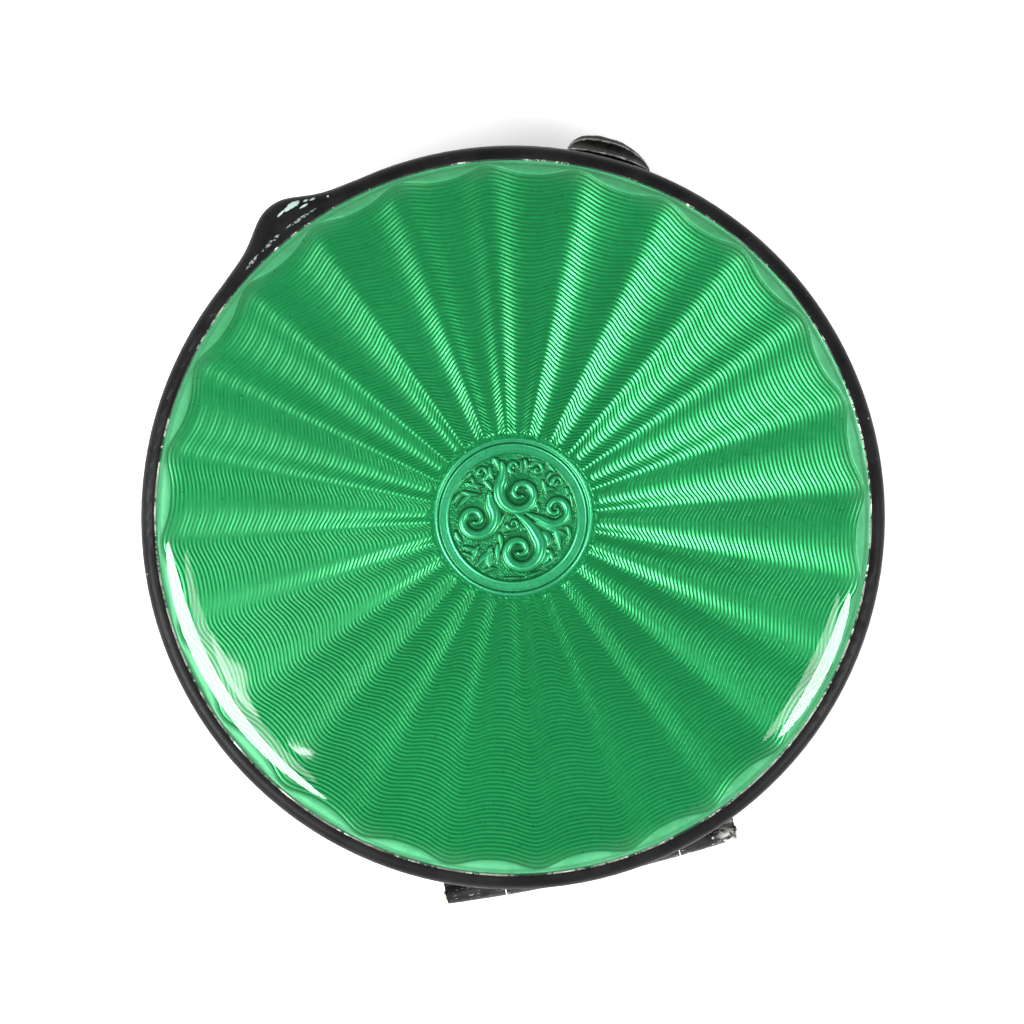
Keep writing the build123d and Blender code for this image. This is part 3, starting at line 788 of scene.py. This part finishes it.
# hug the wall and never cut through it
rad_ = np.hypot(gw[:, 0], gw[:, 1])
lim = 24.2
f_ = np.where(rad_ < lim, lim / rad_, 1)
gw[:, 0] *= f_
gw[:, 1] *= f_
gfaces = [tuple(f) for f in ring_faces(NS, NP, flip=sgn < 0)]
for i in range(NP):
    i2 = (i + 1) % NP
    c0 = (NS * NP, i, i2) if sgn > 0 else (NS * NP, i2, i)
    e0 = (NS - 1) * NP
    c1 = (NS * NP + 1, e0 + i2, e0 + i) if sgn > 0 else (NS * NP + 1, e0 + i, e0 + i2)
    gfaces += [c0, c1]
grip = make_mesh("ribbed_thumb_grip", gw, gfaces)
bm_att = grip.data.attributes.new("ridge", "FLOAT", "POINT")
bm_att.data.foreach_set("value", np.array(ridge, np.float32))
grip.data.materials.append(gp.m)
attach(grip, "base")
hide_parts("base_thumb_grip")

# ------------------------------------------------------------------ CAD nodes that stay
dress("lid_frame", black_lid)
dress("base_shell", black_base)
for n_ in ("lid_liner", "base_liner", "base_collar"):
    dress(n_, gd.m)
for n_ in ("lid_knuckle_left", "lid_knuckle_right", "base_knuckle_left", "base_knuckle_middle", "base_knuckle_right"):
    dress(n_, hg.m)
dress("hinge_pin", pn.m)

# ------------------------------------------------------------------ floor, light, camera
scene.view_settings.view_transform = "Standard"
bpy.ops.mesh.primitive_plane_add(size=3.0, location=(0, 0, -0.00005))
floor = bpy.context.object
floor.name = "floor"
fm = bpy.data.materials.new("floor_white")
fm.use_nodes = True
fb = fm.node_tree.nodes["Principled BSDF"].inputs
fb["Base Color"].default_value = (0.80, 0.80, 0.80, 1)
fb["Roughness"].default_value = 0.8
fb["Specular IOR Level"].default_value = 0.2
fb["Emission Color"].default_value = (1, 1, 1, 1)
fb["Emission Strength"].default_value = 0.50
floor.data.materials.append(fm)

# a white tent, darker overhead where the camera looks in
w = bpy.data.worlds.new("studio")
w.use_nodes = True
wt = w.node_tree
wc = wt.nodes.new("ShaderNodeTexCoord")
ws = wt.nodes.new("ShaderNodeSeparateXYZ")
wr = wt.nodes.new("ShaderNodeMapRange")
wr.interpolation_type = "SMOOTHSTEP"
for k_, v_ in (("From Min", 0.30), ("From Max", 0.93), ("To Min", WORLD_LOW), ("To Max", WORLD_TOP)):
    wr.inputs[k_].default_value = v_
wt.links.new(wc.outputs["Generated"], ws.inputs[0])
wt.links.new(ws.outputs["Z"], wr.inputs["Value"])
wt.links.new(wr.outputs["Result"], wt.nodes["Background"].inputs[1])
wt.nodes["Background"].inputs[0].default_value = (0.97, 0.985, 1.0, 1)
scene.world = w


def image_dir(image_deg, tilt_deg):
    az = math.radians(image_deg) + VIEW_TURN
    t_ = math.radians(tilt_deg)
    return Vector((math.cos(az) * math.sin(t_), math.sin(az) * math.sin(t_), math.cos(t_)))


def soft_box(name, ends, width, radiance, shape="ELLIPSE", dist=0.60):
    """A soft box whose long side runs between two directions (image angle, tilt from straight up)."""
    a_, b_ = image_dir(*ends[0]), image_dir(*ends[1])
    d = (a_ + b_).normalized()
    long_ = (b_ - a_)
    side = (long_ - d * long_.dot(d)).normalized()
    other = d.cross(side)
    li = bpy.data.lights.new(name, "AREA")
    li.shape = shape
    ln = long_.length * dist
    li.size, li.size_y = ln, width * dist
    area = ln * width * dist * (math.pi / 4 if shape == "ELLIPSE" else 1.0)
    li.energy = radiance * math.pi * area
    ob = bpy.data.objects.new(name, li)
    scene.collection.objects.link(ob)
    ob.location = d * dist + Vector((0, 0, 0.01))
    m = Matrix((side, other, d)).transposed()
    ob.rotation_mode = "QUATERNION"
    ob.rotation_quaternion = m.to_quaternion()
    ob.visible_camera = False
    return ob


for nm, ends, wd, rad_, shp in LIGHTS:
    soft_box(nm, ends, wd, rad_, shp)

cam_data = bpy.data.cameras.new("camera")
cam_data.lens = 500
cam_data.sensor_width = 36
cam = bpy.data.objects.new("camera", cam_data)
scene.collection.objects.link(cam)
half = 512 * PX * MM
dist = half / (18.0 / 500.0)
right = Vector((math.cos(VIEW_TURN), math.sin(VIEW_TURN), 0))
up = Vector((-math.sin(VIEW_TURN), math.cos(VIEW_TURN), 0))
cam.location = right * (-1.0 * PX * MM) + up * (5.4 * PX * MM) + Vector((0, 0, 10.5 * MM + dist))
cam.rotation_euler = (0, 0, VIEW_TURN)
cam_data.clip_start = 0.01
cam_data.clip_end = 10
scene.camera = cam
